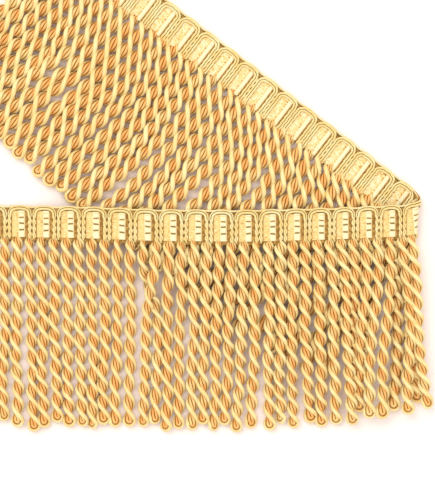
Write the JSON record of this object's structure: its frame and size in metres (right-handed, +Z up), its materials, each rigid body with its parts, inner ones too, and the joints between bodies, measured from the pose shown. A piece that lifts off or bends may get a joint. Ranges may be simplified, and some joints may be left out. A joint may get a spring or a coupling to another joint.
{
  "type": "cord fringe trim",
  "caption": "A length of twisted cord fringe on a gimp braid heading, folded back on itself and lying flat.",
  "frame": {"origin": "on the surface that the trim lies on, under the middle of its bounding box", "axes": "+Z up from the surface, +X along the over stretch towards the fold, +Y from the over stretch's cord tips towards the heading"},
  "size_m": [0.174, 0.1691, 0.0074],
  "materials": {
    "braid": "golden yellow satin gimp yarn, paler and glossier inside the arches",
    "cord": "twisted satin yarn, pale yellow outside and orange in the grooves"
  },
  "bodies": {
    "root": {"heading": "braid", "fringe_under": "cord", "fringe_over": "cord"}
  },
  "joints": []
}
